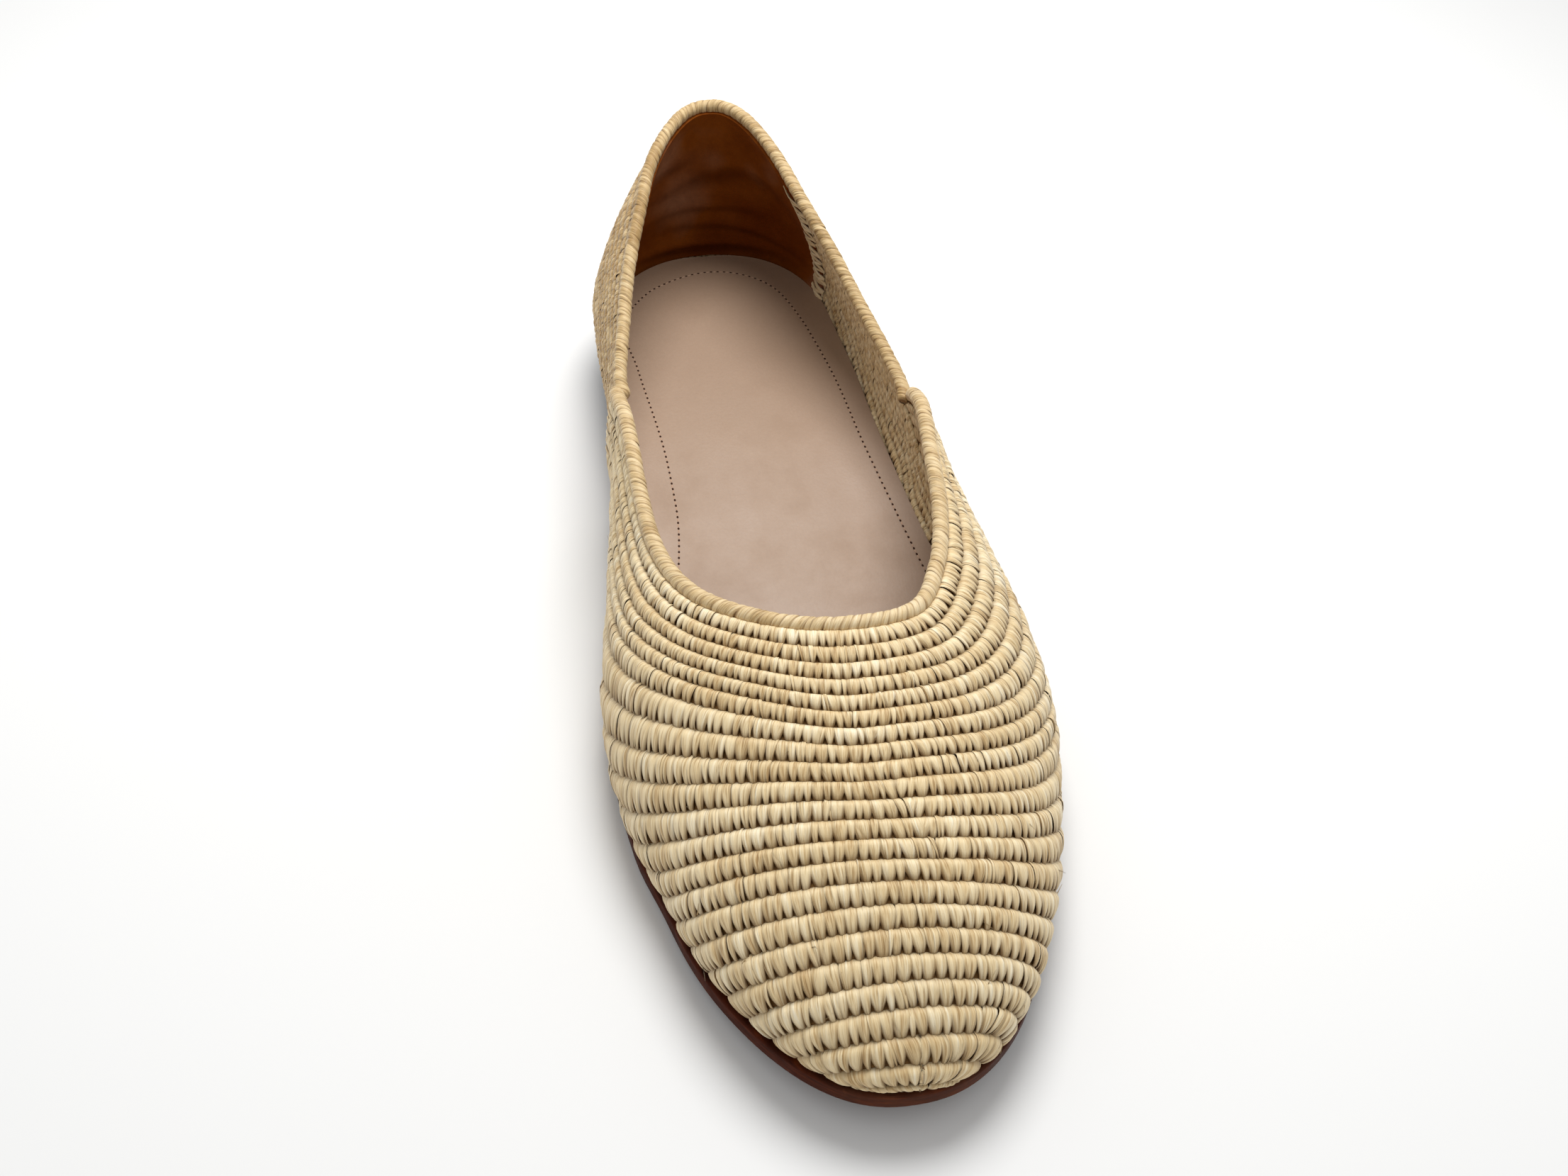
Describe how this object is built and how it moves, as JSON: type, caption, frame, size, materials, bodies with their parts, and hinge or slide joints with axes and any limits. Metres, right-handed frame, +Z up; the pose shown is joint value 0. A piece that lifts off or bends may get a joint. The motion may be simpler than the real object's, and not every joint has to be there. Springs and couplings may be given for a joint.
{
  "type": "moccasin",
  "caption": "Flat slip-on raffia moccasin for the left foot: hollow coiled-row upper with wrapped cord collar, leather insole, thin leather outsole and low heel.",
  "frame": {"origin": "on the floor, under the middle of the heel block's flat underside", "axes": "+X from heel to toe, +Y to the outer side of the foot (the wearer's left), +Z up from the floor"},
  "size_m": [0.2604, 0.0961, 0.0657],
  "materials": {
    "raffia": "stitched raffia coils, dry satin strands",
    "raffia_cord": "close raffia wraps, satin",
    "insole_leather": "smooth pinkish beige, matte",
    "sole_leather": "stained and burnished edge",
    "heel_rubber": "matte"
  },
  "bodies": {
    "root": {"upper": "raffia", "vamp_binding": "raffia_cord", "quarter_binding": "raffia_cord", "insole": "insole_leather", "outsole": "sole_leather", "heel": "heel_rubber"}
  },
  "joints": []
}
